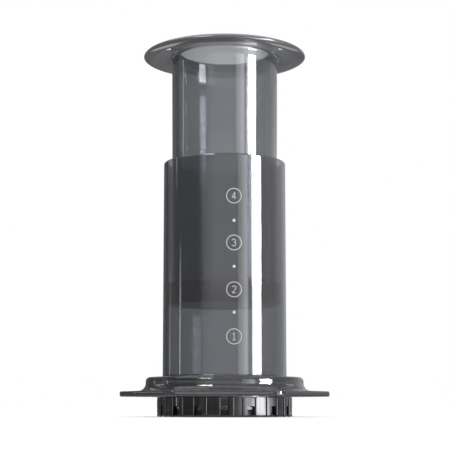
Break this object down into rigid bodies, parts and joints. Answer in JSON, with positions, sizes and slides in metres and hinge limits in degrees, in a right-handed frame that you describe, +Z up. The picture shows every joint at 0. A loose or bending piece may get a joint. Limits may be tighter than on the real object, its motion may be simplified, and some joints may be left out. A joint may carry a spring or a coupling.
{
  "type": "piston coffee press",
  "caption": "Piston coffee press: a smoky clear tube on a hexagonal flange, a sliding plunger with a seal and a hand flange, and a twist-on black filter cap.",
  "frame": {"origin": "centre of the filter cap's underside, the face that the press stands on", "axes": "+Z up along the tube's axis, towards the plunger's hand flange; two corners of the hexagonal flange lie on +X and -X; -Y faces the viewer of the picture"},
  "size_m": [0.109, 0.0962, 0.1937],
  "materials": {
    "smoky_plastic": "smooth moulded clear plastic with a smoky grey tint",
    "smoky_rubber": "smooth, slightly translucent dark grey seal rubber",
    "black_plastic": "glossy black moulded plastic",
    "paper": "thin white filter paper, pressed fibre"
  },
  "bodies": {
    "chamber": {"chamber": "smoky_plastic"},
    "seal": {"seal": "smoky_rubber"},
    "plunger": {"plunger": "smoky_plastic"},
    "cap": {"filter_cap": "black_plastic", "paper_filter": "paper"}
  },
  "joints": [
    {"name": "plunger_slide", "type": "slide", "parent": "chamber", "child": "seal", "axis": [0, 0, 1], "range_m": [-0.0545, 0.085]},
    {"name": "plunger_twist", "type": "hinge", "parent": "seal", "child": "plunger", "pos_m": [0, 0, 0.066], "axis": [0, 0, 1], "continuous": true},
    {"name": "cap_twist", "type": "hinge", "parent": "chamber", "child": "cap", "pos_m": [0, 0, 0.005], "axis": [0, 0, -1], "range_deg": [0, 11.25]}
  ]
}
